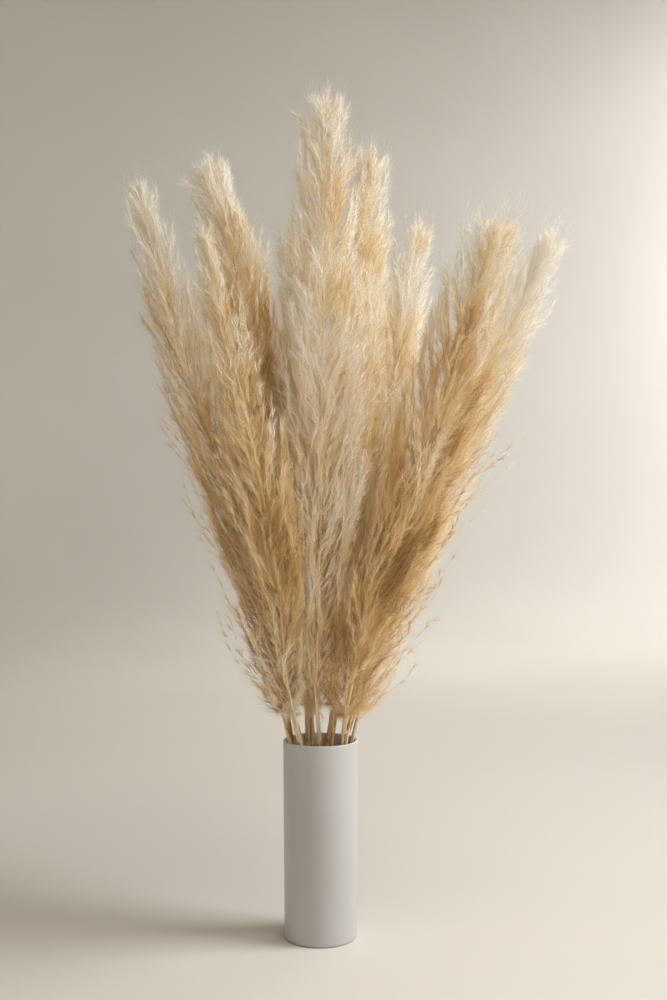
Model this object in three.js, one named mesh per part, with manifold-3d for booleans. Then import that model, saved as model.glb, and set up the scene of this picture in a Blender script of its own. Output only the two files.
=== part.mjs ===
// A bundle of dried pampas grass standing in a tall white cylinder vase.
// Millimetres, +Z up. The origin is the middle of the vase's foot, and the front faces -Y.

import * as THREE from "three";
import { mergeVertices } from "three/addons/utils/BufferGeometryUtils.js";
import Module from "manifold-3d";

const wasm = await Module();
wasm.setup();

// Vase
const vaseHeight = 262;
const rimRadius = 50;
const footRadius = 48;
const wallThickness = 4.5;
const floorThickness = 7;
const footRounding = 3.5;
const vaseSides = 44;
const curveSteps = 2; // straight steps in each rounding of the vase's outline

// Stalks
const seatGap = 0.3; // clearance between pieces that touch
const sheathedRadius = 3; // of a stalk with the leaf sheath round it
const sheathEndRadius = 2.8;
const sheathStep = 2; // height over which the sheath's end steps in to the bare stalk
const bareRadius = 2.3; // of the stalk above its sheath
const jointSwelling = 0.5;
const jointHalfLength = 4;
const stalkSides = 6;
const crossingTwist = 125; // degrees from a stalk's place at the rim round to its foot
const leanDistance = rimRadius - wallThickness - sheathedRadius - 2 * seatGap;
const innerDistance = 16; // of the stalks that stand upright between the leaning ones
const footInset = 5.5; // how much nearer the axis a stalk is at its foot than at the rim

// Plumes: each has a slim rachis that carries ascending branches all round, out to the tip
const rachisRadius = bareRadius;
const rachisTipRadius = 0.9;
const rachisSides = 5;
const rachisRings = 10;
const rachisShare = 0.955; // of a plume's length, the rest being branch tips
const straightNeck = 40; // how far the rachis keeps the stalk's direction
const branchesPerPlume = 50;
const branchHalfWidth = 8.2; // of a branch with its spikelets, where it is widest
const branchThinning = 0.22; // how much narrower the last branches are than the first
const longestBranch = 240;
const topBranch = 120;
const lowestStart = 0.008; // the first branch leaves the rachis here, as a share of its length
const startSpan = 0.93; // and the last one this much further on
const tipScatter = 12; // how far the last branches may pass the tip
const cellMargin = 1.2; // least distance of a branch's side from the next plume's territory
const rachisSamples = 60; // points on each rachis that the territories are measured from
const goldenAngle = Math.PI * (3 - Math.sqrt(5));
const randomSeed = 20;

// Where along a branch its two bends are, how far out of the plume's half width, and how wide.
const branchBends = [
  { along: 0.36, reach: 0.56, width: 0.85 },
  { along: 0.74, reach: 0.92, width: 0.95 },
];

// Each plume: where its stalk passes the rim, as an azimuth in degrees and a distance from the
// axis, the heights where the sheath ends and where the plume begins, points that the rachis
// passes, the last one being the tip, and the plume's half width.
const plumes = [
  {
    name: "01",
    rim: [195, leanDistance],
    sheathTop: 266,
    neck: 278,
    path: [[-82, -22, 450], [-130, -34, 620], [-178, -44, 776], [-214, -50, 900], [-240, -54, 1010]],
    halfWidth: 38,
  },
  {
    name: "02",
    rim: [158, leanDistance],
    sheathTop: 252,
    neck: 282,
    path: [[-58, 46, 450], [-88, 78, 680], [-114, 102, 860], [-140, 116, 990], [-178, 124, 1076]],
    halfWidth: 52,
  },
  {
    name: "03",
    rim: [232, leanDistance],
    sheathTop: 272,
    neck: 284,
    path: [[-54, -66, 470], [-82, -98, 640], [-118, -122, 800], [-151, -142, 936]],
    halfWidth: 40,
  },
  {
    name: "04",
    rim: [262, innerDistance],
    sheathTop: 262,
    neck: 290,
    path: [[0, -34, 520], [2, -48, 740], [6, -58, 950], [9, -66, 1122]],
    halfWidth: 52,
  },
  {
    name: "05",
    rim: [20, innerDistance],
    sheathTop: 276,
    neck: 292,
    path: [[34, 18, 520], [46, 32, 740], [58, 44, 940], [69, 52, 1076]],
    halfWidth: 44,
  },
  {
    name: "06",
    rim: [142, innerDistance],
    sheathTop: 250,
    neck: 288,
    path: [[-16, 26, 500], [-24, 38, 680], [-34, 48, 830], [-44, 58, 958]],
    halfWidth: 36,
  },
  {
    name: "07",
    rim: [36, leanDistance],
    sheathTop: 268,
    neck: 280,
    path: [[58, 52, 470], [82, 80, 650], [112, 102, 820], [144, 122, 984]],
    halfWidth: 40,
  },
  {
    name: "08",
    rim: [316, leanDistance],
    sheathTop: 258,
    neck: 276,
    path: [[64, -60, 430], [106, -90, 555], [150, -112, 690], [192, -126, 830], [228, -134, 950]],
    halfWidth: 52,
  },
  {
    name: "09",
    rim: [356, leanDistance],
    sheathTop: 246,
    neck: 274,
    path: [[84, -6, 440], [138, -10, 580], [206, -14, 720], [270, -18, 850], [318, -20, 950]],
    halfWidth: 44,
  },
  {
    name: "10",
    rim: [116, leanDistance],
    sheathTop: 270,
    neck: 280,
    path: [[-44, 88, 450], [-72, 140, 640], [-100, 182, 800], [-126, 216, 942]],
    halfWidth: 46,
  },
  {
    name: "11",
    rim: [76, leanDistance],
    sheathTop: 256,
    neck: 284,
    path: [[26, 92, 480], [44, 146, 670], [62, 190, 850], [78, 222, 1004]],
    halfWidth: 46,
  },
];

const finishes = {
  ceramic: { color: 0xe9e6df, roughness: 0.42, metalness: 0 },
  straw: { color: 0xc59a5e, roughness: 0.5, metalness: 0 },
  fluff: { color: 0xdccdb0, roughness: 0.9, metalness: 0 },
};

// Seeded random numbers between 0 and 1.
function makeRandom(seed) {
  let state = seed;
  return function random() {
    state = (state + 0x6d2b79f5) | 0;
    let mixed = Math.imul(state ^ (state >>> 15), 1 | state);
    mixed = (mixed + Math.imul(mixed ^ (mixed >>> 7), 61 | mixed)) ^ mixed;
    return ((mixed ^ (mixed >>> 14)) >>> 0) / 2 ** 32;
  };
}

// A closed geometry as a solid that can be joined to others.
function solidFrom(geometry) {
  const merged = mergeVertices(geometry, 1e-4);
  return new wasm.Manifold(
    new wasm.Mesh({
      numProp: 3,
      vertProperties: new Float32Array(merged.attributes.position.array),
      triVerts: new Uint32Array(merged.index.array),
    }),
  );
}

function geometryFrom(solid) {
  const mesh = solid.getMesh();
  const geometry = new THREE.BufferGeometry();
  geometry.setAttribute("position", new THREE.BufferAttribute(mesh.vertProperties, 3));
  geometry.setIndex(new THREE.BufferAttribute(mesh.triVerts, 1));
  return geometry;
}

// A closed skin through rings of points, which each run anticlockwise seen from the far end.
// A ring of one point closes its end to a tip, and any other end gets a flat cap.
function skinRings(rings) {
  const faces = [];
  let start = 0;
  for (let i = 0; i + 1 < rings.length; i++) {
    const here = rings[i].length;
    const next = rings[i + 1].length;
    const after = start + here;
    for (let k = 0; k < Math.max(here, next); k++) {
      const a = start + (k % here);
      const b = start + ((k + 1) % here);
      const c = after + ((k + 1) % next);
      const d = after + (k % next);
      if (here > 1) faces.push(a, b, next > 1 ? c : d);
      if (next > 1) faces.push(a, c, d);
    }
    start = after;
  }
  const firstSides = rings[0].length;
  const lastSides = rings[rings.length - 1].length;
  for (let k = 1; k + 1 < firstSides; k++) faces.push(0, k + 1, k);
  for (let k = 1; k + 1 < lastSides; k++) faces.push(start, start + k, start + k + 1);
  const geometry = new THREE.BufferGeometry();
  const points = rings.flat();
  const places = new Float32Array(points.flatMap((p) => [p.x, p.y, p.z]));
  geometry.setAttribute("position", new THREE.BufferAttribute(places, 3));
  geometry.setIndex(faces);
  return geometry;
}

// The point at a distance and an angle round a centre, square to a direction.
function pointBeside(centre, direction, distance, angle) {
  const across = new THREE.Vector3(0, -1, 0).cross(direction).normalize();
  const along = direction.clone().cross(across).normalize();
  return centre
    .clone()
    .addScaledVector(across, distance * Math.cos(angle))
    .addScaledVector(along, distance * Math.sin(angle));
}

function ringRound(centre, direction, radius, sides) {
  return Array.from({ length: sides }, (_, k) => {
    return pointBeside(centre, direction, radius, (2 * Math.PI * k) / sides);
  });
}

function addPiece(group, name, geometry, finish) {
  geometry.computeVertexNormals();
  const mesh = new THREE.Mesh(geometry, new THREE.MeshStandardMaterial(finish));
  mesh.name = name;
  group.add(mesh);
}

// The vase is turned: out along the foot, up the wall, over the lip and down inside.
function vaseGeometry() {
  const lip = wallThickness / 2;
  const insideFoot = footRadius - wallThickness;
  const profile = new THREE.Path();
  profile.moveTo(0, 0);
  profile.lineTo(footRadius - footRounding, 0);
  profile.quadraticCurveTo(footRadius, 0, footRadius, footRounding);
  profile.lineTo(rimRadius, vaseHeight - lip);
  profile.absarc(rimRadius - lip, vaseHeight - lip, lip, 0, Math.PI, false);
  profile.lineTo(insideFoot, floorThickness + footRounding);
  profile.lineTo(insideFoot - footRounding, floorThickness);
  profile.lineTo(0, floorThickness);
  const turned = new THREE.LatheGeometry(profile.getPoints(curveSteps), vaseSides);
  return turned.rotateX(Math.PI / 2);
}

// A place round the vase's axis.
function placeAt(azimuth, distance, height) {
  const angle = THREE.MathUtils.degToRad(azimuth);
  return new THREE.Vector3(distance * Math.cos(angle), distance * Math.sin(angle), height);
}

// The line of one stalk: from the floor, past the rim, to the neck where its plume begins.
function stalkLine(plume) {
  const [azimuth, distance] = plume.rim;
  const foot = placeAt(azimuth + crossingTwist, distance - footInset, floorThickness + seatGap);
  const rim = placeAt(azimuth, distance, vaseHeight);
  const direction = rim.clone().sub(foot);
  const at = (height) => foot.clone().addScaledVector(direction, (height - foot.z) / direction.z);
  return { at, foot, neck: at(plume.neck), direction: direction.clone().normalize() };
}

// A stalk has a flat cut foot, a swollen joint inside the vase and a sheath that ends in a step.
function stalkGeometry(plume, line) {
  const upright = new THREE.Vector3(0, 0, 1);
  const joint = plume.sheathTop / 2;
  const sections = [
    [joint - jointHalfLength, sheathedRadius],
    [joint, sheathedRadius + jointSwelling],
    [joint + jointHalfLength, sheathedRadius],
    [plume.sheathTop, sheathEndRadius],
    [plume.sheathTop + sheathStep, bareRadius],
    [plume.neck, bareRadius],
  ];
  const rings = sections.map(([height, radius]) => {
    return ringRound(line.at(height), line.direction, radius, stalkSides);
  });
  return skinRings([ringRound(line.foot, upright, sheathedRadius, stalkSides), ...rings]);
}

// The rachis goes on from the neck in the stalk's direction and bends over to the plume's tip.
function rachisCurve(plume, line) {
  const start = line.neck.clone().addScaledVector(line.direction, seatGap);
  const bend = start.clone().addScaledVector(line.direction, straightNeck);
  const rest = plume.path.map((p) => new THREE.Vector3(...p));
  return new THREE.CatmullRomCurve3([start, bend, ...rest], false, "centripetal");
}

// How full a plume is along its length: it swells soon above the neck and ends in a blunt brush.
function fullness(t) {
  const swell = 1 - 0.5 * Math.pow(Math.max(0, 1 - t / 0.25), 1.6);
  const brush = Math.sqrt(1 - Math.pow(Math.min(t, 1), 6));
  return swell * (0.4 + 0.6 * brush);
}

// How long a branch is by its turn from the neck up: short at first, soon longest, then shorter.
function branchLength(t) {
  const swell = Math.min(1, 0.25 + 5 * t);
  return swell * THREE.MathUtils.lerp(longestBranch, topBranch, t);
}

function distanceTo(point, samples) {
  let nearest = Infinity;
  for (const sample of samples) nearest = Math.min(nearest, point.distanceToSquared(sample));
  return Math.sqrt(nearest);
}

// Draws a point back towards its own rachis until it is clear of every other plume's territory,
// which begins where another rachis is as near as its own.
function keepInside(point, home, territory, clearance) {
  const step = 0.06;
  const kept = point.clone();
  for (let tries = 0; tries < 40; tries++) {
    const least = distanceTo(kept, territory.own) + 2 * clearance;
    if (territory.others.every((samples) => distanceTo(kept, samples) > least)) return kept;
    kept.lerp(home, step);
  }
  return kept;
}

// A place along the rachis, or past its end on the same line.
function stationOn(curve, t) {
  const within = Math.min(t, 1);
  const direction = curve.getTangentAt(within);
  const centre = curve.getPointAt(within).addScaledVector(direction, (t - within) * curve.getLength());
  return { centre, direction };
}

// A point inside the rachis, which runs straight from each of its rings to the next.
function insideRachis(curve, t) {
  const step = rachisShare / rachisRings;
  const below = Math.floor(t / step);
  const low = curve.getPointAt(below * step);
  const high = curve.getPointAt((below + 1) * step);
  return low.lerp(high, t / step - below);
}

// One ascending branch: a three-sided spindle from inside the rachis through two bends to its tip.
function branchGeometry(curve, branch, territory) {
  const share = branch.length / curve.getLength();
  const root = insideRachis(curve, branch.start);
  const rings = branchBends.map((bend) => {
    const { centre, direction } = stationOn(curve, branch.start + bend.along * share);
    const angle = branch.angle + branch.drift * bend.along;
    const halfWidth = branch.halfWidth * bend.width;
    const wanted = pointBeside(centre, direction, branch.spread * bend.reach, angle);
    const middle = keepInside(wanted, centre, territory, halfWidth + cellMargin);
    const outward = middle.clone().sub(centre).normalize();
    const across = direction.clone().cross(outward).normalize();
    const inner = middle.clone().addScaledVector(outward, -0.15 * halfWidth);
    return [
      middle.clone().addScaledVector(outward, 0.3 * halfWidth),
      inner.clone().addScaledVector(across, halfWidth),
      inner.clone().addScaledVector(across, -halfWidth),
    ];
  });
  const end = stationOn(curve, branch.start + share);
  const wanted = pointBeside(end.centre, end.direction, branch.spread, branch.angle + branch.drift);
  const tip = keepInside(wanted, end.centre, territory, cellMargin);
  return skinRings([[root], ...rings, [tip]]);
}

function rachisGeometry(curve) {
  const rings = [];
  for (let i = 0; i <= rachisRings; i++) {
    const t = (rachisShare * i) / rachisRings;
    const radius = THREE.MathUtils.lerp(rachisRadius, rachisTipRadius, i / rachisRings);
    rings.push(ringRound(curve.getPointAt(t), curve.getTangentAt(t), radius, rachisSides));
  }
  return skinRings(rings);
}

function plumeGeometry(plume, curve, territory) {
  const random = makeRandom(randomSeed + Number(plume.name));
  const total = curve.getLength();
  let solid = solidFrom(rachisGeometry(curve));
  for (let i = 0; i < branchesPerPlume; i++) {
    const t = (i + 0.5) / branchesPerPlume;
    const start = lowestStart + startSpan * t * (0.62 + 0.38 * t);
    const room = (1 - start) * total + tipScatter * random();
    const length = Math.min(branchLength(t) * (0.9 + 0.2 * random()), room);
    const spread = plume.halfWidth * fullness(start + length / total) * (0.9 + 0.2 * random());
    const branch = {
      start,
      length,
      spread,
      angle: i * goldenAngle + 0.3 * (random() - 0.5),
      drift: 0.5 * (random() - 0.5),
      halfWidth: branchHalfWidth * (1 - branchThinning * t),
    };
    solid = solid.add(solidFrom(branchGeometry(curve, branch, territory)));
  }
  return geometryFrom(solid);
}

const bundle = new THREE.Group();
addPiece(bundle, "vase", vaseGeometry(), finishes.ceramic);

const lines = plumes.map(stalkLine);
const curves = plumes.map((plume, i) => rachisCurve(plume, lines[i]));
const samples = curves.map((curve) => curve.getSpacedPoints(rachisSamples));
plumes.forEach((plume, i) => {
  const territory = { own: samples[i], others: samples.filter((_, k) => k !== i) };
  addPiece(bundle, "stem_" + plume.name, stalkGeometry(plume, lines[i]), finishes.straw);
  addPiece(bundle, "plume_" + plume.name, plumeGeometry(plume, curves[i], territory), finishes.fluff);
});

export default bundle;
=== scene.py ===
import math
import random

import bmesh
import bpy
import numpy as np
from mathutils import Matrix, Vector, noise
from mathutils.geometry import interpolate_bezier
from mathutils.kdtree import KDTree


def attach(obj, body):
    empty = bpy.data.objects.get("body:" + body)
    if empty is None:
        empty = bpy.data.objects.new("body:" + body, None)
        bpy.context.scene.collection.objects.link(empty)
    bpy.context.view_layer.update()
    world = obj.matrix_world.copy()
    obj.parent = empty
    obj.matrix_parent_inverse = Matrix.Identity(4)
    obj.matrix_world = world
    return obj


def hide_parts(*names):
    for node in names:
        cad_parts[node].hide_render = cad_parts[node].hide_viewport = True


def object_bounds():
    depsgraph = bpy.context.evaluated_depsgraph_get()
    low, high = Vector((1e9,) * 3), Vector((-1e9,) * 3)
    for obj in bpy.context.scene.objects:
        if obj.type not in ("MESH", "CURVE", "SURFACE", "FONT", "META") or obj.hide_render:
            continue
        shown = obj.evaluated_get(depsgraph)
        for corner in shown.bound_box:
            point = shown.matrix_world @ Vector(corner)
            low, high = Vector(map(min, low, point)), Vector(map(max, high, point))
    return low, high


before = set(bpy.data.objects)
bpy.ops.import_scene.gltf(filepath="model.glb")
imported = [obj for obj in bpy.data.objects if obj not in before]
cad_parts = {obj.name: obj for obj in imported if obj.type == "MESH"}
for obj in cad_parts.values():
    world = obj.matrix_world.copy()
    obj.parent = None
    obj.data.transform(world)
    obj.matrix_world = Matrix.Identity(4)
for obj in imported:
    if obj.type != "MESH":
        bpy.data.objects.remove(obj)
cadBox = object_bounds()
print("frame loaded:", len(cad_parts), "nodes")

mm = 0.001
goldenAngle = math.pi * (3 - math.sqrt(5))


# A colour as Blender wants it, from its hex code.
def linearColour(hexCode):
    channels = [int(hexCode[i:i + 2], 16) / 255 for i in (1, 3, 5)]
    return [c / 12.92 if c <= 0.04045 else ((c + 0.055) / 1.055) ** 2.4 for c in channels] + [1]


def newMaterial(name, settings):
    material = bpy.data.materials.new(name)
    material.use_nodes = True
    shader = material.node_tree.nodes["Principled BSDF"]
    for socket, value in settings.items():
        shader.inputs[socket].default_value = value
    return material, shader


# Adds a node with its settings, and links its inputs to what feeds them.
def addNode(material, kind, settings={}, links={}):
    node = material.node_tree.nodes.new(kind)
    for name, value in settings.items():
        if name == "stops":  # places and hex colours of a ramp
            for spare in range(len(value) - 2):
                node.color_ramp.elements.new(0.5)
            for stop, (place, colour) in zip(node.color_ramp.elements, value):
                stop.position = place
                stop.color = linearColour(colour)
        elif isinstance(name, int) or name in node.inputs:
            node.inputs[name].default_value = value
        else:
            setattr(node, name, value)
    for name, source in links.items():
        material.node_tree.links.new(source, node.inputs[name])
    return node


def between(low, high, share):
    return low + (high - low) * share


# A closed tube or ribbon: a grid rolled up round a line of points. Its UV map runs round it in x
# and along it in y. A radius of 0 closes an end, and flatness below 1 makes a ribbon of it.
def rollTube(centres, radii, sides, facing=Vector((0, -1, 0)), flatness=1):
    tube = bmesh.new()
    tube.loops.layers.uv.new("OFBake")
    rows = len(centres)
    bmesh.ops.create_grid(tube, x_segments=sides, y_segments=rows - 1, size=1, calc_uvs=True)
    tube.verts.ensure_lookup_table()
    for row in range(rows):
        ahead = centres[min(row + 1, rows - 1)] - centres[max(row - 1, 0)]
        if ahead.length == 0 or ahead.z < 0:
            ahead = centres[-1] - centres[0]
        ahead.normalize()
        across = facing.cross(ahead).normalized()
        other = ahead.cross(across)
        for side in range(sides + 1):
            angle = 2 * math.pi * side / sides
            offset = across * math.cos(angle) + other * math.sin(angle) * flatness
            tube.verts[row * (sides + 1) + side].co = centres[row] + offset * radii[row]
    bmesh.ops.remove_doubles(tube, verts=tube.verts, dist=1e-7)
    return tube


# Turns a bmesh into a finished piece with its place in its mesh.
def finishPiece(shape, name, node, materials):
    mesh = bpy.data.meshes.new(name)
    shape.to_mesh(mesh)
    shape.free()
    for material in materials:
        mesh.materials.append(material)
    mesh.polygons.foreach_set("use_smooth", [True] * len(mesh.polygons))
    piece = bpy.data.objects.new(name, mesh)
    bpy.context.scene.collection.objects.link(piece)
    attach(piece, "root")
    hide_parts(node)
    return piece


# Level with the middle of the bunch, in mm.
camera = {
    "place": (17, -1850, 628),
    "lens": 50.08,
    "sensor": 36,
    "shift": -0.036,
}

cameraData = bpy.data.cameras.new("camera")
cameraData.lens = camera["lens"]
cameraData.sensor_width = camera["sensor"]
cameraData.shift_y = camera["shift"]
cameraObject = bpy.data.objects.new("camera", cameraData)
cameraObject.location = [value * mm for value in camera["place"]]
cameraObject.rotation_euler = (math.pi / 2, 0, 0)
bpy.context.scene.collection.objects.link(cameraObject)
bpy.context.scene.camera = cameraObject


vase = {
    "height": 262,
    "rimRadius": 50,
    "footRadius": 48,
    "wall": 4.5,
    "floor": 7,
    "footRounding": 3.5,
    "footRecess": 0.8,  # how far the middle of the foot stands clear
    "footRing": (7.5, 9),  # how far in the ring that it stands on ends, and the recess begins
    "glaze": "#C7C7C8",
    "glazeThin": "#C5C4C3",
    "bisque": "#DDD3C2",
    "roughness": 0.4,
    "ripple": 55,  # mm, the slow unevenness of the glaze
    "thinLip": 2.2,  # mm below the rim where the glaze starts to thin
    "bareFoot": (0.4, 1.3),  # mm above the floor where the glaze begins and covers
    "sides": 96,
    "roundingSteps": 8,
    "wallSteps": 12,
}


# Glazed earthenware, slip cast and dipped: a satin white with a soft wide highlight, slightly
# uneven where the glaze ran, thin and warmer on the lip, and bare bisque on the foot ring.
def makeWhiteGlaze():
    material, shader = newMaterial("satinWhiteGlaze", {
        "IOR": 1.52, "Coat Weight": 0.25, "Coat Roughness": 0.22, "Coat IOR": 1.5,
    })
    where = addNode(material, "ShaderNodeTexCoord").outputs["Object"]
    slow = addNode(material, "ShaderNodeTexNoise", {
        "Scale": 1000 / vase["ripple"], "Detail": 3, "Roughness": 0.55}, {"Vector": where})
    fine = addNode(material, "ShaderNodeTexNoise", {"Scale": 420, "Detail": 2}, {"Vector": where})
    tint = addNode(material, "ShaderNodeValToRGB", {
        "stops": [(0.32, vase["glazeThin"]), (0.62, vase["glaze"])]}, {"Fac": slow.outputs["Fac"]})
    height = addNode(material, "ShaderNodeSeparateXYZ", {}, {"Vector": where}).outputs["Z"]
    lip = addNode(material, "ShaderNodeMapRange", {
        "From Min": (vase["height"] - vase["thinLip"]) * mm, "From Max": vase["height"] * mm,
        "To Min": 0, "To Max": 0.55}, {"Value": height})
    lipTint = addNode(material, "ShaderNodeMix", {
        "data_type": "RGBA", 7: linearColour(vase["glazeThin"])},
        {0: lip.outputs["Result"], 6: tint.outputs["Color"]})
    foot = addNode(material, "ShaderNodeMapRange", {
        "From Min": vase["bareFoot"][0] * mm, "From Max": vase["bareFoot"][1] * mm,
        "To Min": 1, "To Max": 0}, {"Value": height})
    colour = addNode(material, "ShaderNodeMix", {"data_type": "RGBA", 7: linearColour(vase["bisque"])},
                     {0: foot.outputs["Result"], 6: lipTint.outputs[2]})
    gloss = addNode(material, "ShaderNodeMapRange", {
        "To Min": vase["roughness"] - 0.06, "To Max": vase["roughness"] + 0.1},
        {"Value": slow.outputs["Fac"]})
    dull = addNode(material, "ShaderNodeMath", {"operation": "MAXIMUM"},
                   {0: gloss.outputs["Result"], 1: foot.outputs["Result"]})
    rough = addNode(material, "ShaderNodeMath", {"operation": "MINIMUM", 1: 0.85}, {0: dull.outputs[0]})
    dips = addNode(material, "ShaderNodeBump", {"Strength": 0.06, "Distance": 0.0006},
                   {"Height": slow.outputs["Fac"]})
    grain = addNode(material, "ShaderNodeBump", {"Strength": 0.05, "Distance": 0.0001},
                    {"Height": fine.outputs["Fac"], "Normal": dips.outputs["Normal"]})
    material.node_tree.links.new(colour.outputs[2], shader.inputs["Base Color"])
    material.node_tree.links.new(rough.outputs[0], shader.inputs["Roughness"])
    material.node_tree.links.new(grain.outputs["Normal"], shader.inputs["Normal"])
    return material


# The vase's outline spun once round its axis.
def buildVase():
    steps = vase["roundingSteps"]
    wallSteps = vase["wallSteps"]
    foot = vase["footRadius"]
    rim = vase["rimRadius"]
    wall = vase["wall"]
    lip = wall / 2
    lipHeight = vase["height"] - lip
    inside = foot - wall
    rounding = vase["footRounding"]
    floor = vase["floor"]
    recess = vase["footRecess"]
    ringInside, recessEdge = vase["footRing"]
    outline = [(0, recess), (foot - recessEdge, recess), (foot - ringInside, 0)]
    for step in range(steps + 1):  # over the rounded edge of the foot
        turn = math.pi / 2 * step / steps
        outline.append((foot - rounding * (1 - math.sin(turn)), rounding * (1 - math.cos(turn))))
    for step in range(1, wallSteps):
        share = step / wallSteps
        outline.append((between(foot, rim, share), between(rounding, lipHeight, share)))
    for step in range(2 * steps + 1):  # over the lip
        turn = math.pi * step / (2 * steps)
        outline.append((rim - lip + lip * math.cos(turn), lipHeight + lip * math.sin(turn)))
    for step in range(1, wallSteps):
        share = step / wallSteps
        outline.append((between(rim - wall, inside, share), between(lipHeight, floor + rounding, share)))
    for step in range(steps + 1):  # round the corner between wall and floor
        turn = math.pi / 2 * step / steps
        outline.append((inside - rounding * (1 - math.cos(turn)), floor + rounding * (1 - math.sin(turn))))
    outline.append((0, floor))

    shape = bmesh.new()
    corners = [shape.verts.new((radius * mm, 0, height * mm)) for radius, height in outline]
    edges = [shape.edges.new(pair) for pair in zip(corners, corners[1:])]
    bmesh.ops.spin(shape, geom=corners + edges, cent=(0, 0, 0), axis=(0, 0, 1), angle=2 * math.pi,
                   steps=vase["sides"], use_merge=True)
    bmesh.ops.remove_doubles(shape, verts=shape.verts, dist=1e-6)
    bmesh.ops.recalc_face_normals(shape, faces=shape.faces)
    finishPiece(shape, "vase_glazed", "vase", [makeWhiteGlaze()])


buildVase()
print("vase turned")


bunch = {
    "crossingTwist": 125,  # degrees from a stalk's place at the rim round to its foot
    "footInset": 5.5,
    "footHeight": 7.3,
    "seatGap": 0.3,
    "straightNeck": 40,
    "lean": 41.9,  # mm from the axis, where a stalk leans on the rim
    "inner": 16,  # and where it stands between the others
    "pathPoints": 260,
    "bezierPoints": 24,
}

# What each stalk and plume is like: its azimuth at the rim and how it stands there, the heights
# where its sheath and its bare stalk end, the plume's half width, how blunt its tip and how full it
# is, how pale from neck to tip, which is its ripening with painted shade on lower and shadowed stretches,
# and the points that its rachis passes.
plumes = {
    "01": {"rim": (195, "lean"), "sheathTop": 266, "neck": 278,
           "halfWidth": 38, "brush": 0.55, "fill": 1,
           "ripenessAndShade": (0.46, 0.29, 0.54, 0.98),
           "path": [(-82, -22, 450), (-130, -34, 620), (-178, -44, 776),
                    (-214, -50, 900), (-240, -54, 1010)]},
    "02": {"rim": (158, "lean"), "sheathTop": 252, "neck": 282,
           "halfWidth": 52, "brush": 0.75, "fill": 1.15,
           "ripenessAndShade": (0.38, 0.24, 0.4, 1),
           "path": [(-58, 46, 450), (-88, 78, 680), (-114, 102, 860),
                    (-140, 116, 990), (-178, 124, 1076)]},
    "03": {"rim": (232, "lean"), "sheathTop": 272, "neck": 284,
           "halfWidth": 40, "brush": 0.15, "fill": 0.85, "wispyTop": 0.45,
           "ripenessAndShade": (0.72, 0.34, 0.46, 0.92),
           "path": [(-54, -66, 470), (-82, -98, 640), (-118, -122, 800), (-151, -142, 936)]},
    "04": {"rim": (262, "inner"), "sheathTop": 262, "neck": 290,
           "halfWidth": 52, "brush": 0.85, "fill": 1,
           "ripenessAndShade": (0.46, 0.76, 0.7, 0.8),
           "path": [(0, -34, 520), (2, -48, 740), (6, -58, 950), (9, -66, 1122)]},
    "05": {"rim": (20, "inner"), "sheathTop": 276, "neck": 292,
           "halfWidth": 44, "brush": 0.75, "fill": 1,
           "ripenessAndShade": (0.5, 0.54, 0.68, 0.86),
           "path": [(34, 18, 520), (46, 32, 740), (58, 44, 940), (69, 52, 1076)]},
    "06": {"rim": (142, "inner"), "sheathTop": 250, "neck": 288,
           "halfWidth": 36, "brush": 0.5, "fill": 0.9,
           "ripenessAndShade": (0.46, 0.44, 0.54, 0.8),
           "path": [(-16, 26, 500), (-24, 38, 680), (-34, 48, 830), (-44, 58, 958)]},
    "07": {"rim": (36, "lean"), "sheathTop": 268, "neck": 280,
           "halfWidth": 40, "brush": 0.75, "fill": 1,
           "ripenessAndShade": (0.46, 0.46, 0.66, 0.96),
           "path": [(58, 52, 470), (82, 80, 650), (112, 102, 820), (144, 122, 984)]},
    "08": {"rim": (316, "lean"), "sheathTop": 258, "neck": 276,
           "halfWidth": 52, "brush": 0.85, "fill": 1.15,
           "ripenessAndShade": (0.44, 0.27, 0.36, 0.95),
           "path": [(64, -60, 430), (106, -90, 555), (150, -112, 690),
                    (192, -126, 830), (228, -134, 950)]},
    "09": {"rim": (356, "lean"), "sheathTop": 246, "neck": 274,
           "halfWidth": 44, "brush": 0.6, "fill": 1,
           "ripenessAndShade": (0.5, 0.42, 0.68, 1),
           "path": [(84, -6, 440), (138, -10, 580), (206, -14, 720),
                    (270, -18, 850), (318, -20, 950)]},
    "10": {"rim": (116, "lean"), "sheathTop": 270, "neck": 280,
           "halfWidth": 46, "brush": 0.55, "fill": 0.9,
           "ripenessAndShade": (0.46, 0.48, 0.58, 0.84),
           "path": [(-44, 88, 450), (-72, 140, 640), (-100, 182, 800), (-126, 216, 942)]},
    "11": {"rim": (76, "lean"), "sheathTop": 256, "neck": 284,
           "halfWidth": 46, "brush": 0.55, "fill": 0.9,
           "ripenessAndShade": (0.46, 0.48, 0.58, 0.84),
           "path": [(26, 92, 480), (44, 146, 670), (62, 190, 850), (78, 222, 1004)]},
}


def placeAt(azimuth, distance, height):
    angle = math.radians(azimuth)
    return Vector((distance * math.cos(angle), distance * math.sin(angle), height)) * mm


# A point of a stalk at a height, on the straight line from its foot past the rim.
def stalkPoint(plume, height):
    azimuth = plume["rim"][0]
    distance = bunch[plume["rim"][1]]
    foot = placeAt(azimuth + bunch["crossingTwist"], distance - bunch["footInset"], bunch["footHeight"])
    rim = placeAt(azimuth, distance, vase["height"])
    return foot + (rim - foot) * (height * mm - foot.z) / (rim.z - foot.z)


def stalkDirection(plume):
    return (stalkPoint(plume, vase["height"]) - stalkPoint(plume, 0)).normalized()


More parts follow.
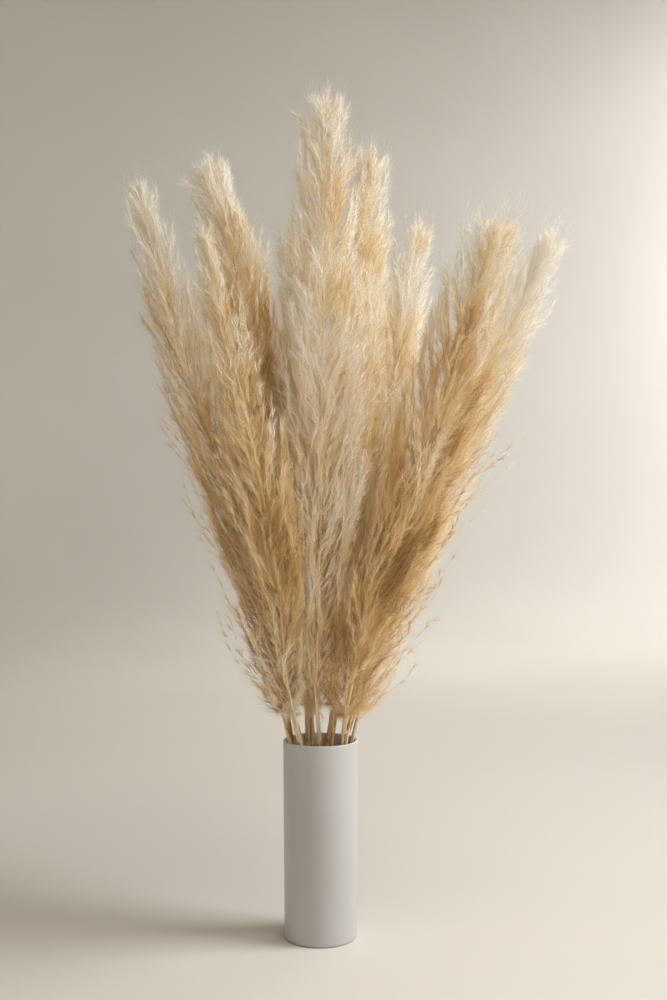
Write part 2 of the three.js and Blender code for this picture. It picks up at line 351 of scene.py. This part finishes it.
# Points at even steps on a smooth curve through the given ones, and its length.
def smoothPath(points):
    count = bunch["pathPoints"]
    ends = [points[0] * 2 - points[1]] + points + [points[-1] * 2 - points[-2]]
    dense = []
    for before, start, end, after in zip(ends, ends[1:], ends[2:], ends[3:]):
        first = math.sqrt((start - before).length)
        middle = math.sqrt((end - start).length)
        last = math.sqrt((after - end).length)
        ahead = (end - start) / middle
        leave = ((start - before) / first - (end - before) / (first + middle) + ahead) * middle
        arrive = (ahead - (after - start) / (middle + last) + (after - end) / last) * middle
        handles = start + leave / 3, end - arrive / 3
        dense += interpolate_bezier(start, *handles, end, bunch["bezierPoints"])[:-1]
    dense.append(points[-1])
    travelled = [0]
    for here, onward in zip(dense, dense[1:]):
        travelled.append(travelled[-1] + (onward - here).length)
    even = []
    span = 0
    for step in range(count):
        wanted = travelled[-1] * step / (count - 1)
        while span < len(dense) - 2 and travelled[span + 1] < wanted:
            span += 1
        share = (wanted - travelled[span]) / (travelled[span + 1] - travelled[span])
        even.append(dense[span].lerp(dense[span + 1], share))
    return even, travelled[-1]


# A place along the rachis, or past its end on the same line, and the rachis's direction there.
def stationOn(plume, share):
    path = plume["rachis"]
    spot = min(max(share, 0), 1) * (len(path) - 1)
    low = min(int(spot), len(path) - 2)
    direction = (path[low + 1] - path[low]).normalized()
    centre = path[low].lerp(path[low + 1], spot - low)
    return centre + direction * max(0, share - 1) * plume["length"], direction


# Each rachis carries on from its stalk before it bends.
for plume in plumes.values():
    start = stalkPoint(plume, plume["neck"]) + stalkDirection(plume) * bunch["seatGap"] * mm
    bend = start + stalkDirection(plume) * bunch["straightNeck"] * mm
    plume["rachis"], plume["length"] = smoothPath([start, bend] + [Vector(p) * mm for p in plume["path"]])


def treeOf(points):
    tree = KDTree(len(points))
    for index, point in enumerate(points):
        tree.insert(point, index)
    tree.balance()
    return tree


# Trees of points that tell which plume a place is nearest to.
for name, plume in plumes.items():
    plume["own"] = treeOf(plume["rachis"])
    plume["others"] = treeOf([p for other, its in plumes.items() if other != name for p in its["rachis"]])


stalk = {
    "sheathedRadius": 3,
    "sheathEndRadius": 2.8,
    "lipFlare": 0.25,  # how far the sheath's open end stands off
    "bareRadius": 2.3,
    "jointSwelling": 0.5,
    "sides": 12,
    "culmDark": "#8C5A22",
    "culmMid": "#C48C3F",
    "culmLight": "#DFB269",
    "sheathDark": "#BE9250",
    "sheathMid": "#DDBD86",
    "sheathLight": "#F1E2C4",
    "tornDark": "#CDB282",
    "tornMid": "#E8D7B3",
    "tornLight": "#F8F0DE",
    "fibres": 26,  # streaks round a stalk, about 0.7 mm each
    "fibreLength": 9,  # and how often they change along it
    "stripSteps": 8,
    "stripSides": 6,
    "stripFlatness": 0.09,
    "stripWave": 1.2,
}


# Ripe reed culm, grown and air dried: hard golden skin with a silky shine, fine lengthwise fibres.
# The leaf sheath on it is papery, paler and duller. Both are wrapped by the piece's own UV map.
def makeStraw(name, colours, roughness):
    material, shader = newMaterial(name, {"IOR": 1.5, "Specular IOR Level": 0.45})
    wrap = addNode(material, "ShaderNodeUVMap", {"uv_map": "OFBake"}).outputs["UV"]
    lengthwise = addNode(material, "ShaderNodeMapping", {
        "Scale": (stalk["fibres"], stalk["fibreLength"], 1)}, {"Vector": wrap})
    streaks = addNode(material, "ShaderNodeTexNoise", {"Scale": 1, "Detail": 4, "Roughness": 0.6},
                      {"Vector": lengthwise.outputs["Vector"]})
    patches = addNode(material, "ShaderNodeTexNoise", {"Scale": 6, "Detail": 2}, {"Vector": wrap})
    blend = addNode(material, "ShaderNodeMix", {"data_type": "FLOAT", 0: 0.4},
                    {2: streaks.outputs["Fac"], 3: patches.outputs["Fac"]})
    colour = addNode(material, "ShaderNodeValToRGB", {
        "stops": [(0.3, colours[0]), (0.5, colours[1]), (0.68, colours[2])]}, {"Fac": blend.outputs[0]})
    gloss = addNode(material, "ShaderNodeMapRange", {
        "To Min": roughness - 0.1, "To Max": roughness + 0.15}, {"Value": streaks.outputs["Fac"]})
    ribs = addNode(material, "ShaderNodeBump", {"Strength": 0.4, "Distance": 0.0002},
                   {"Height": streaks.outputs["Fac"]})
    material.node_tree.links.new(colour.outputs["Color"], shader.inputs["Base Color"])
    material.node_tree.links.new(gloss.outputs["Result"], shader.inputs["Roughness"])
    material.node_tree.links.new(ribs.outputs["Normal"], shader.inputs["Normal"])
    return material


culmTints = [stalk["culmDark"], stalk["culmMid"], stalk["culmLight"]]
sheathTints = [stalk["sheathDark"], stalk["sheathMid"], stalk["sheathLight"]]
tornTints = [stalk["tornDark"], stalk["tornMid"], stalk["tornLight"]]
culmStraw = makeStraw("driedReedCulm", culmTints, 0.42)
sheathStraw = makeStraw("driedLeafSheath", sheathTints, 0.55)
tornStraw = makeStraw("tornSheathSkin", tornTints, 0.5)

# Torn ends of the sheaths at the vase's mouth: height of their root, length, width, azimuth, lean.
tornStrips = {
    "01": [(256, 40, 4, 260, 0.10)],
    "02": [(248, 44, 4, 120, 0.08)],
    "03": [(262, 52, 4.5, 250, 0.08), (258, 34, 4, 60, 0.16), (246, 140, 3, 285, 0.14)],
    "04": [(256, 76, 5, 280, 0.04), (252, 58, 4, 200, 0.12), (258, 44, 3.5, 350, 0.14),
           (240, 170, 3, 262, 0.12)],
    "05": [(264, 66, 4.5, 250, 0.06), (262, 48, 4, 60, 0.1), (254, 50, 5.5, 200, 0.1)],
    "06": [(246, 76, 4.5, 230, 0.05), (248, 54, 5.5, 300, 0.1)],
    "07": [(262, 46, 4.5, 40, 0.08)],
    "08": [(252, 68, 4.5, 240, 0.07), (250, 48, 4, 330, 0.12), (244, 150, 3, 250, 0.1)],
    "09": [(242, 66, 4.5, 270, 0.06)],
    "10": [(264, 48, 4.5, 110, 0.08), (252, 52, 6, 270, 0.12)],
    "11": [(252, 50, 4.5, 70, 0.1), (250, 56, 6, 285, 0.1)],
}


# Adds the torn strips of a sheath to its stalk, each a flat ribbon pointed at both ends.
def addStrips(tube, name, plume):
    rng = random.Random(int(name))
    steps = stalk["stripSteps"]
    scratch = bpy.data.meshes.new("strip")
    for rootHeight, length, width, azimuth, lean in tornStrips.get(name, []):
        out = placeAt(azimuth, 1000, 0)  # one metre, so that it serves as a direction
        points = []
        radii = []
        for step in range(steps + 1):
            share = step / steps
            away = stalk["sheathedRadius"] * 0.9 + length * lean * share ** 1.5
            away += stalk["stripWave"] * math.sin(3 * share + rng.random())
            points.append(stalkPoint(plume, rootHeight + length * share) + out * away * mm)
            radii.append(width / 2 * math.sin(math.pi * min(1, 0.35 + 0.65 * share)) * mm)
        radii[-1] = 0
        radii[0] = 0
        strip = rollTube(points, radii, stalk["stripSides"], facing=-out, flatness=stalk["stripFlatness"])
        for face in strip.faces:
            face.material_index = 2
        strip.to_mesh(scratch)
        strip.free()
        tube.from_mesh(scratch)
    bpy.data.meshes.remove(scratch)


# One tube from the foot to the plume: sheathed, with a swollen joint, then bare above the sheath.
def buildStalk(name, plume):
    top = plume["sheathTop"]
    joint = top / 2
    neck = plume["neck"]
    foot = bunch["footHeight"]
    sheathed = stalk["sheathedRadius"]
    sheathEnd = stalk["sheathEndRadius"]
    bare = stalk["bareRadius"]
    swelling = stalk["jointSwelling"]
    rings = [  # heights and radii, from the foot up
        (foot, 0), (foot, sheathed), (joint - 9, sheathed), (joint - 4, sheathed * 1.02),
        (joint - 1.5, sheathed + swelling * 0.8), (joint, sheathed + swelling),
        (joint + 1.5, sheathed + swelling * 0.5), (joint + 4, sheathed), (joint + 30, sheathed),
        (top - 12, sheathEnd), (top - 3, sheathEnd), (top, sheathEnd + stalk["lipFlare"]),
        (top - 1.5, bare + 0.12), (top + 5, bare), (neck - 0.8, bare), (neck, bare * 0.85), (neck, 0),
    ]
    centres = [stalkPoint(plume, height) for height, radius in rings]
    tube = rollTube(centres, [radius * mm for height, radius in rings], stalk["sides"])
    direction = stalkDirection(plume)
    for vert in tube.verts:  # the foot is cut level and stands on the vase's floor
        if vert.co.z < centres[1].z + sheathed * mm:
            vert.co += direction * (centres[1].z - vert.co.z) / direction.z
    lipHeight = centres[11].z - 0.5 * mm
    for face in tube.faces:
        face.material_index = 1 if face.calc_center_median().z < lipHeight else 0
    addStrips(tube, name, plume)
    finishPiece(tube, "stalk_" + name, "stem_" + name, [culmStraw, sheathStraw, tornStraw])


for name, plume in plumes.items():
    buildStalk(name, plume)
print("stalks grown")


fluff = {
    "rachisRadius": (2.3, 0.5),  # at the neck and at the tip
    "rachisShare": 0.955,  # of a plume's length, the rest being branch tips
    "rachisRings": 36,
    "rachisTone": 0.3,
    "branches": 200,  # on a plume of the usual width and length
    "usualHalfWidth": 44,
    "usualLength": 720,
    "longestBranch": 240,
    "topBranch": 120,
    "branchRadius": 0.3,
    "branchSteps": 8,
    "lowestStart": 0.014,  # where the first branch leaves the rachis, as a share of its length
    "startSpan": 0.925,  # and how much further on the last one does
    "branchUnevenness": (0.85, 1.1),  # of a branch's length
    "unevenness": (0.8, 1.05),  # of how far it stands out
    "fullest": 1.12,
    "tipScatter": 12,  # mm that the last branches may pass the tip
    "domeDrop": 18,  # mm by which the outer ones of the last branches end lower
    "clearance": 2.5,  # mm that branches keep from halfway to the next plume
    "depthMargin": 6,  # mm that branches keep within the depth of the bunch
    "tuftSpacing": (15.5, 8.5),  # mm along a low branch and a top one
    "skirtSpacing": 6,
    "tuftBlades": 24,
    "tuftLength": 12,  # mm of branch that a tuft's hairs start from
    "tuftReach": 31,  # mm that a tuft's hairs reach on from its place
    "looseness": 0.34,  # how far tufts point away from their branch
    "bladeLength": (12, 29),
    "bladeLean": (3, 47),  # degrees off the tuft's own line
    "bladeRadius": 0.21,  # a hair bundle: single hairs are 0.05 mm, too fine to show
    "tuftKinds": 6,
    "tuftSize": (0.75, 1.15),
    "fineness": {"skirt": 0.6, "tipWisp": 0.6, "wisp": 0.7},  # smaller tufts on these
    "wisps": 20,  # long loose branches on the free side
    "wispStart": (0.02, 0.45),  # the lowest start, and the span above it
    "wispLength": (90, 200),
    "wispSpread": (1.3, 1.9),  # times as far out as the other branches
    "tipWisps": {"01": 3, "03": 4, "07": 6, "08": 16, "09": 9},
    "tipWispStart": (0.72, 0.86),
    "tipWispPast": (6, 24),  # mm past the tip
    "skirt": 20,  # short drooping branchlets at the neck
    "skirtStart": (0.012, 0.05),
    "skirtLength": (30, 60),
    "skirtSpread": (5, 20),
    "skirtDrop": (0.45, 0.85),  # of its length
    "skirtLift": (40, -4),  # how far above the rim they stay, outside the mouth and within it
    "lockBulge": 0.19,  # how far locks stand out
    "lockLightCreaseShade": 0.17,  # and how much paler they are painted than creases: painted light on the locks, painted shade in the creases
    "patchTone": 0.36,
    "meetingPaintedShade": 0.24,  # painted shade: how much darker plumes are painted where they meet, as if they shaded each other
    "meetingPaintedShadeWidth": 24,
    "branchTone": 0.045,  # how much branches differ, and tufts
    "tuftTone": 0.05,
    "endTone": 0.13,  # how much paler a branch's end is than its middle
    "shade": "#AD8654",
    "brown": "#E4C48B",
    "tan": "#F5E2B9",
    "cream": "#FAF2E0",
    "pale": "#FDFAF4",
}


# Spikelets of dried pampas grass: bundles of fine silky hairs on papery scales. Matt with a soft
# glow at the edges, pale cream at the tips of the hairs, and tan painted as shade where they are packed
# together.
# The piece's UV map carries in x how ripe a tuft is together with the shade painted on it, and in y how far
# along its hairs it is.
def makeSilk():
    material, shader = newMaterial("driedPampasSilk", {
        "Roughness": 0.72, "IOR": 1.45, "Specular IOR Level": 0.3,
        "Sheen Weight": 0.35, "Sheen Roughness": 0.45, "Sheen Tint": linearColour("#FFF4E0"),
    })
    spot = addNode(material, "ShaderNodeUVMap", {"uv_map": "OFBake"}).outputs["UV"]
    parts = addNode(material, "ShaderNodeSeparateXYZ", {}, {"Vector": spot})
    mottle = addNode(material, "ShaderNodeTexNoise", {"Scale": 38, "Detail": 2}, {"Vector": spot})
    shifted = addNode(material, "ShaderNodeMath", {"operation": "MULTIPLY_ADD", 1: 0.12, 2: -0.06},
                      {0: mottle.outputs["Fac"]})
    along = addNode(material, "ShaderNodeMath", {"operation": "MULTIPLY_ADD", 1: 0.22, 2: -0.1},
                    {0: parts.outputs["Y"]})
    tone = addNode(material, "ShaderNodeMath", {"operation": "ADD"},
                   {0: parts.outputs["X"], 1: along.outputs[0]})
    mottled = addNode(material, "ShaderNodeMath", {"operation": "ADD"},
                      {0: tone.outputs[0], 1: shifted.outputs[0]})
    colour = addNode(material, "ShaderNodeValToRGB", {
        "stops": [(0, fluff["shade"]), (0.25, fluff["brown"]), (0.5, fluff["tan"]),
                  (0.75, fluff["cream"]), (1, fluff["pale"])]}, {"Fac": mottled.outputs[0]})
    material.node_tree.links.new(colour.outputs["Color"], shader.inputs["Base Color"])
    return material


# One tuft of fine hair bundles, each a flat sliver, that spread from a short axis.
def makeTuft(kind):
    rng = random.Random(100 + kind)
    tuft = bmesh.new()
    uvMap = tuft.loops.layers.uv.new("OFBake")
    for blade in range(fluff["tuftBlades"]):
        length = between(*fluff["bladeLength"], rng.random())
        cone = bmesh.ops.create_cone(tuft, segments=3, radius1=fluff["bladeRadius"] * mm, radius2=0,
                                     depth=length * mm)["verts"]
        tip = max(cone, key=lambda vert: vert.co.z)
        bmesh.ops.delete(tuft, geom=list(tip.link_faces)[:2], context="FACES")  # one side is enough
        cone = [vert for vert in cone if vert.is_valid]
        for face in tip.link_faces:
            for corner, loop in enumerate(face.loops):
                loop[uvMap].uv = (0.012 * (corner - 1), 1 if loop.vert == tip else 0)
        lean = math.radians(between(*fluff["bladeLean"], rng.random()))
        turn = Matrix.Rotation(blade * goldenAngle + rng.random(), 4, "Z") @ Matrix.Rotation(lean, 4, "Y")
        place = Matrix.Translation((0, 0, fluff["tuftLength"] * mm * (blade / fluff["tuftBlades"] - 0.5)))
        root = Matrix.Translation((0, 0, length / 2 * mm))
        bmesh.ops.transform(tuft, matrix=place @ turn @ root, verts=cone)
    mesh = bpy.data.meshes.new("tuft")
    tuft.to_mesh(mesh)
    tuft.free()
    places = np.zeros(len(mesh.vertices) * 3, np.float32)
    mesh.vertices.foreach_get("co", places)
    tones = np.zeros(len(mesh.loops) * 2, np.float32)
    mesh.uv_layers["OFBake"].data.foreach_get("uv", tones)
    return {"mesh": mesh, "places": places, "tones": tones}


# A copy of a tuft joins a plume, pointing in a direction and of a ripeness.
def addTuft(plumeShape, tuft, place, direction, roll, size, tone):
    mesh = tuft["mesh"]
    mesh.vertices.foreach_set("co", tuft["places"])
    turn = direction.to_track_quat("Z", "Y").to_matrix().to_4x4()
    mesh.transform(Matrix.Translation(place) @ turn @ Matrix.Rotation(roll, 4, "Z") @ Matrix.Scale(size, 4))
    tones = tuft["tones"].copy()
    tones[0::2] += tone
    mesh.uv_layers["OFBake"].data.foreach_set("uv", tones)
    plumeShape.from_mesh(mesh)


# Adds a branch's own thin stem, all of one tone.
def addTwig(plumeShape, scratch, centres, radii, sides, tone):
    tube = rollTube(centres, radii, sides)
    uvMap = tube.loops.layers.uv["OFBake"]
    for face in tube.faces:
        for loop in face.loops:
            loop[uvMap].uv = (tone + 0.03 * loop[uvMap].uv.x, 0.2 + 0.8 * loop[uvMap].uv.y)
    tube.to_mesh(scratch)
    tube.free()
    plumeShape.from_mesh(scratch)


# How full a plume is along its length: it swells soon above the neck and ends in a round brush.
def fullness(share, brush):
    swell = 1 - 0.65 * max(0, 1 - share / 0.25) ** 1.6
    return swell * (brush + (1 - brush) * math.sqrt(1 - min(share, 1) ** 6))


# How pale a plume is along its length, from its neck to its tip: its ripening, with painted shade on its
# lower and shadowed stretches.
def ripenessAndShadeOf(plume, share):
    spot = min(2.999, max(0, share * 3))
    low = int(spot)
    ease = (spot - low) ** 2 * (3 - 2 * (spot - low))
    return between(plume["ripenessAndShade"][low], plume["ripenessAndShade"][low + 1], ease)


# Branches of a plume hang together in soft locks: from -1 in a crease to 1 on a lock.
def lockAt(seed, angle, share):
    spot = Vector((1.3 * math.cos(angle), 1.3 * math.sin(angle) + 7 * seed, 5 * share))
    return max(-1, min(1, 2.2 * noise.noise(spot)))


# Draws a point back to its own rachis until it is clear of every other plume's territory, and
# until it is no further to the front or back than the bunch reaches.
def keepInside(plume, point, home):
    clearance = fluff["clearance"] * mm
    margin = fluff["depthMargin"] * mm
    for tries in range(40):
        clear = plume["others"].find(point)[2] > plume["own"].find(point)[2] + 2 * clearance
        if clear and cadBox[0][1] + margin < point.y < cadBox[1][1] - margin:
            break
        point = point.lerp(home, 0.06)
    return point


# The line of one ascending branch: it hugs the rachis first, then swings out and nods at its tip.
def branchLine(plume, rng, start, length, spread, angle, curl):
    share = length / plume["length"]
    wave = rng.uniform(0, 6.28)
    points = []
    steps = fluff["branchSteps"]
    for step in range(steps + 1):
        along = step / steps
        centre, direction = stationOn(plume, start + along * share)
        across = Vector((0, -1, 0)).cross(direction).normalized()
        other = direction.cross(across)
        turned = angle + curl * along + 0.2 * math.sin(wave + 6 * along)
        reach = spread * (1 - (1 - along) ** 1.9)
        reach += spread * 0.07 * (max(0, along - 0.75) * 4) ** 2  # the tip nods outwards
        reach += 0.004 * along * math.sin(wave * 2 + 11 * along)
        point = centre + (across * math.cos(turned) + other * math.sin(turned)) * reach
        points.append(keepInside(plume, point, centre))
    return points


# Where along the rachis a branch leaves it, as a share of its length, and how long the branch is.
def startAndLength(kind, turn, total, rng):
    if kind == "skirt":
        start = rng.uniform(*fluff["skirtStart"])
        length = rng.uniform(*fluff["skirtLength"]) * mm
    elif kind == "wisp":
        start = fluff["wispStart"][0] + fluff["wispStart"][1] * rng.random()
        length = rng.uniform(*fluff["wispLength"]) * mm
    else:
        start = fluff["lowestStart"] + fluff["startSpan"] * turn * (0.8 + 0.2 * turn)
        swell = min(1, 0.25 + 5 * turn)
        length = swell * between(fluff["longestBranch"], fluff["topBranch"], turn)
        length = length * rng.uniform(*fluff["branchUnevenness"]) * mm
    length = min(length, (1 - start) * total + fluff["tipScatter"] * rng.random() * mm)
    if kind == "tipWisp":
        start = rng.uniform(*fluff["tipWispStart"])
        length = (1 - start) * total + rng.uniform(*fluff["tipWispPast"]) * mm
    return start, length


# Bends a branchlet of the skirt over, so that it hangs. It stays clear of the rim.
def droop(line, length, rng):
    steps = fluff["branchSteps"]
    drop = rng.uniform(*fluff["skirtDrop"]) * length
    bent = []
    for step, point in enumerate(line):
        point = point - Vector((0, 0, 2.4 * drop * (step / steps) ** 1.6))
        outside = math.hypot(point.x, point.y) > 0.7 * vase["rimRadius"] * mm
        lift = fluff["skirtLift"][0 if outside else 1]
        point.z = max(point.z, (vase["height"] + lift) * mm)
        bent.append(point)
    return bent


# Sets tufts along a branch, closer together towards the top of the plume. Their tone is the
# plume's at that height, then the branch's own, with soft patches over the plume and painted shade where it
# meets another.
def addTufts(shape, plume, tufts, rng, branch):
    kind = branch["kind"]
    line = branch["line"]
    total = plume["length"]
    steps = fluff["branchSteps"]
    sparse = 1.6 if kind in ("wisp", "tipWisp") else 1
    spacing = between(*fluff["tuftSpacing"], min(branch["turn"], 1)) * sparse * mm
    spacing = fluff["skirtSpacing"] * mm if kind == "skirt" else spacing
    spacing *= 1.8 if branch["turn"] > plume.get("wispyTop", 1) else 1
    fineness = fluff["fineness"].get(kind, 1)
    number = int(branch["length"] / spacing)
    reach = 1 - min(0.5, fluff["tuftReach"] * mm / branch["length"])  # hairs end where the branch does
    for place in range(max(1, number // 10), number + 1):
        along = min(1, (place + rng.uniform(-0.4, 0.4)) / number) ** 0.85 * reach
        spot = along * steps
        low = min(int(spot), steps - 1)
        point = line[low].lerp(line[low + 1], spot - low)
        direction = (line[low + 1] - line[low]).normalized()
        share = branch["start"] + along * branch["length"] / total
        outward = (point - stationOn(plume, share)[0]).normalized()
        loose = Vector((rng.uniform(-1, 1), rng.uniform(-1, 1), rng.uniform(-1, 1)))
        aim = direction + outward * between(0.3, 0.1, along) + loose * fluff["looseness"]
        size = rng.uniform(*fluff["tuftSize"]) * fineness * between(1, 0.86 - 0.38 * branch["top"], along)
        patch = noise.noise(Vector((26 * point.x, 26 * point.y, 15 * point.z + 3)))
        tone = plume["ripenessAndShade"][0] + 0.04 if kind == "skirt" else ripenessAndShadeOf(plume, share)
        # Painted shade: tufts close to another plume are darkened, as if shaded by it.
        room = plume["others"].find(point)[2] - plume["own"].find(point)[2]
        tone -= fluff["meetingPaintedShade"] * max(0, 1 - room / (fluff["meetingPaintedShadeWidth"] * mm))
        own = branch["tone"] + fluff["patchTone"] * patch
        own += rng.uniform(-fluff["tuftTone"], fluff["tuftTone"])
        tone += own + between(-fluff["endTone"], fluff["endTone"], along)
        addTuft(shape, rng.choice(tufts), point, aim.normalized(), rng.uniform(0, 6.28), size,
                min(0.97, max(0.03, tone)))


# The rachis, then every branch with its tufts, all one piece.
def buildPlume(name, plume, tufts, scratch, silk):
    rng = random.Random(500 + int(name))
    shape = bmesh.new()
    shape.loops.layers.uv.new("OFBake")
    total = plume["length"]
    rings = fluff["rachisRings"]
    steps = fluff["branchSteps"]
    radius = fluff["branchRadius"] * mm
    centres = [stationOn(plume, fluff["rachisShare"] * ring / rings)[0] for ring in range(rings + 1)]
    radii = [between(*fluff["rachisRadius"], ring / rings) * mm for ring in range(rings)]
    addTwig(shape, scratch, centres, radii + [0], 6, fluff["rachisTone"])
    size = plume["fill"] * plume["halfWidth"] / fluff["usualHalfWidth"] * total / mm / fluff["usualLength"]
    count = round(fluff["branches"] * size)
    kinds = ["branch"] * count + ["wisp"] * fluff["wisps"] + ["skirt"] * fluff["skirt"]
    kinds += ["tipWisp"] * fluff["tipWisps"].get(name, 0)
    for index, kind in enumerate(kinds):
        turn = (index + 0.5) / count
        start, length = startAndLength(kind, turn, total, rng)
        angle = index * goldenAngle + rng.uniform(-0.2, 0.2)
        lock = lockAt(int(name), angle, start + length / total)
        angle += 0.3 * lockAt(int(name) + 0.5, angle, start + length / total)
        top = max(0, (start + length / total - 0.8) / 0.2)
        inward = between(1, math.sqrt(rng.random()), top)  # the last branches fill a dome
        length -= (0 if kind == "tipWisp" else fluff["domeDrop"]) * top * inward ** 2 * mm
        fuller = min(fluff["fullest"], rng.uniform(*fluff["unevenness"]) * (1 + fluff["lockBulge"] * lock))
        spread = plume["halfWidth"] * fullness(start + length / total, plume["brush"])
        spread = spread * fuller * inward * mm
        if kind == "wisp":  # to the side that the bunch leaves free
            spread *= rng.uniform(*fluff["wispSpread"])
            angle = (0 if plume["path"][-1][0] < 0 else math.pi) + rng.uniform(-0.8, 0.8)
        if kind == "skirt":  # into the mouth, between the stalks
            spread = rng.uniform(*fluff["skirtSpread"]) * mm
            angle = math.radians(plume["rim"][0]) + rng.uniform(-1.3, 1.3)
        line = branchLine(plume, rng, start, length, spread, angle, rng.uniform(-0.3, 0.3))
        if kind == "skirt":
            line = droop(line, length, rng)
        # The lock term paints light on the locks and shade in the creases; the rest differs at random.
        branchTone = rng.uniform(-fluff["branchTone"], fluff["branchTone"]) + fluff["lockLightCreaseShade"] * lock
        radii = [between(radius, radius * 0.3, step / steps) for step in range(steps)]
        twigTone = ripenessAndShadeOf(plume, start + 0.4 * length / total) + branchTone
        addTwig(shape, scratch, line, radii + [0], 3, twigTone)
        addTufts(shape, plume, tufts, rng, {
            "kind": kind, "turn": turn, "start": start, "length": length, "line": line, "top": top,
            "tone": branchTone})
    piece = finishPiece(shape, "plume_silk_" + name, "plume_" + name, [silk])
    return len(piece.data.polygons)


tufts = [makeTuft(kind) for kind in range(fluff["tuftKinds"])]
scratchMesh = bpy.data.meshes.new("scratch")
silk = makeSilk()
for name, plume in plumes.items():
    faces = buildPlume(name, plume, tufts, scratchMesh, silk)
    print("plume", name, "has", faces, "faces")


studio = {
    "paint": "#DAD6CE",
    "paintWorn": "#D5D1C9",
    "radius": 5200,  # of the round cove, so that it closes every view
    "bend": 2000,
    "bendSteps": 16,
    "height": 4200,
    "sides": 96,
    "ambient": 0.25,
    "air": "#F1E4CC",
}

# Softboxes: place, size, power, colour, the point faced, and the spread in degrees, which a grid
# narrows.
lights = {
    "keyWindow": ((1750, -250, 1900), (1200, 1400), 58.5, "#FCFCFF", (0, 0, 750), 180),
    "crownSoft": ((650, -950, 2550), (1200, 1200), 16.5, "#FFF8EC", (0, 0, 850), 180),
    "frontGrid": ((450, -2300, 650), (250, 250), 0.2, "#FFF0DC", (0, 0, 530), 16),
    "vaseEdge": ((-1500, 500, 350), (300, 300), 0.045, "#FBF4E8", (0, 0, 130), 24),
    "wallWash": ((2900, 3600, 2200), (1500, 1500), 94, "#FAFCFF", (1900, 4900, 700), 180),
    "floorGlow": ((600, 2700, 3200), (600, 600), 5, "#FDFCFA", (500, 2500, 0), 70),
}


# Painted plaster, rolled matt.
def makeBackdropPaint():
    material, shader = newMaterial("mattPalePaint", {"Roughness": 0.9, "Specular IOR Level": 0.2})
    where = addNode(material, "ShaderNodeTexCoord").outputs["Object"]
    cloud = addNode(material, "ShaderNodeTexNoise", {"Scale": 1.2, "Detail": 3}, {"Vector": where})
    colour = addNode(material, "ShaderNodeValToRGB", {
        "stops": [(0.3, studio["paintWorn"]), (0.7, studio["paint"])]}, {"Fac": cloud.outputs["Fac"]})
    material.node_tree.links.new(colour.outputs["Color"], shader.inputs["Base Color"])
    return material


# A round floor that bends up into a wall on all sides, open at the top.
def buildBackdrop():
    flat = studio["radius"] - studio["bend"]
    outline = [(0, 0), (flat, 0)]
    steps = studio["bendSteps"]
    for step in range(1, steps + 1):
        turn = math.pi / 2 * step / steps
        outline.append((flat + studio["bend"] * math.sin(turn), studio["bend"] * (1 - math.cos(turn))))
    outline.append((studio["radius"], studio["height"]))
    shape = bmesh.new()
    corners = [shape.verts.new((radius * mm, 0, z * mm)) for radius, z in outline]
    edges = [shape.edges.new(pair) for pair in zip(corners, corners[1:])]
    bmesh.ops.spin(shape, geom=corners + edges, cent=(0, 0, 0), axis=(0, 0, 1), angle=2 * math.pi,
                   steps=studio["sides"], use_merge=True)
    bmesh.ops.remove_doubles(shape, verts=shape.verts, dist=1e-6)
    bmesh.ops.recalc_face_normals(shape, faces=shape.faces)
    mesh = bpy.data.meshes.new("backdrop")
    shape.to_mesh(mesh)
    shape.free()
    mesh.materials.append(makeBackdropPaint())
    mesh.polygons.foreach_set("use_smooth", [True] * len(mesh.polygons))
    backdrop = bpy.data.objects.new("backdrop", mesh)
    bpy.context.scene.collection.objects.link(backdrop)


def addLight(name, place, size, power, colour, target, spread):
    data = bpy.data.lights.new(name, "AREA")
    data.shape = "RECTANGLE"
    data.size = size[0] * mm
    data.size_y = size[1] * mm
    data.energy = power
    data.color = linearColour(colour)[:3]
    data.spread = math.radians(spread)
    light = bpy.data.objects.new(name, data)
    light.location = [value * mm for value in place]
    aim = Vector(target) * mm - light.location
    light.rotation_euler = aim.to_track_quat("-Z", "Y").to_euler()
    light.visible_camera = False
    bpy.context.scene.collection.objects.link(light)


buildBackdrop()
for name, values in lights.items():
    addLight(name, *values)

world = bpy.data.worlds.new("studioAir")
world.use_nodes = True
world.node_tree.nodes["Background"].inputs["Color"].default_value = linearColour(studio["air"])
world.node_tree.nodes["Background"].inputs["Strength"].default_value = studio["ambient"]
bpy.context.scene.world = world
bpy.context.scene.cycles.diffuse_bounces = 6  # light wanders far among pale hairs
bpy.context.scene.cycles.denoising_prefilter = "NONE"  # keeps the single hairs
bpy.context.scene.view_settings.view_transform = "Standard"
bpy.context.scene.view_settings.look = "None"
print("stage and lights set")
